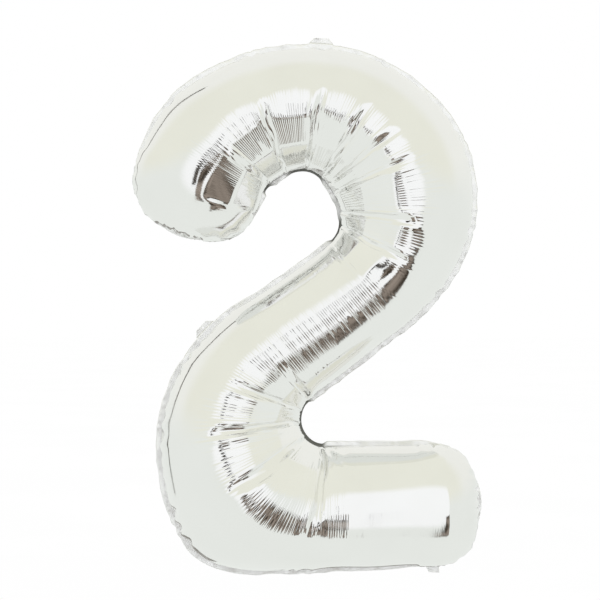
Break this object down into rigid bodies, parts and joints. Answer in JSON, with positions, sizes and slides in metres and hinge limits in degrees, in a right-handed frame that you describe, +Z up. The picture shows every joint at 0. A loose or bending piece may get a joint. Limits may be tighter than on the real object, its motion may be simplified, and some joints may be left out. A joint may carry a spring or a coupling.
{
  "type": "foil number balloon",
  "caption": "Silver foil balloon shaped as a tall figure two, with two panels welded round the rim, hanging tabs, a fill tail and a self-sealing valve.",
  "frame": {"origin": "centre of the eyelet in the top hanging tab", "axes": "+Z up the figure, +X to the right as the figure is read, the readable front towards -Y"},
  "size_m": [0.5599, 0.2458, 0.8672],
  "materials": {
    "panel_foil": "vacuum-metallised silver film, mirror-like, puckered along the bends",
    "welded_foil": "heat-welded silver film, a little duller than the panels",
    "valve_film": "clear polyethylene film"
  },
  "bodies": {
    "hanger": {"hang_tab_top": "welded_foil"},
    "envelope": {"front_panel": "panel_foil", "back_panel": "panel_foil", "weld_seam": "welded_foil", "valve_back_film": "valve_film"},
    "side_tab": {"hang_tab_side": "welded_foil"},
    "tail": {"tail_back_foil": "welded_foil"},
    "tail_lip": {"tail_front_foil": "welded_foil"},
    "valve_flap": {"valve_front_film": "valve_film"}
  },
  "joints": [
    {"name": "top_tab_fold", "type": "hinge", "parent": "hanger", "child": "envelope", "pos_m": [-0.00028, 0, -0.00419], "axis": [0.9977, 0, -0.0674], "range_deg": [-60, 60]},
    {"name": "side_tab_fold", "type": "hinge", "parent": "envelope", "child": "side_tab", "pos_m": [-0.18849, 0, -0.46612], "axis": [0.6932, 0, 0.7207], "range_deg": [-90, 90]},
    {"name": "tail_fold", "type": "hinge", "parent": "envelope", "child": "tail", "pos_m": [0.17961, 0, -0.8489], "axis": [0.9724, 0, 0.2334], "range_deg": [-90, 90]},
    {"name": "tail_mouth_lift", "type": "hinge", "parent": "tail", "child": "tail_lip", "pos_m": [0.17961, 0, -0.8489], "axis": [0.9724, 0, 0.2334], "range_deg": [-20, 0]},
    {"name": "valve_lift", "type": "hinge", "parent": "envelope", "child": "valve_flap", "pos_m": [0.17684, -0.00025, -0.83733], "axis": [0.9724, 0, 0.2334], "range_deg": [0, 6]}
  ]
}
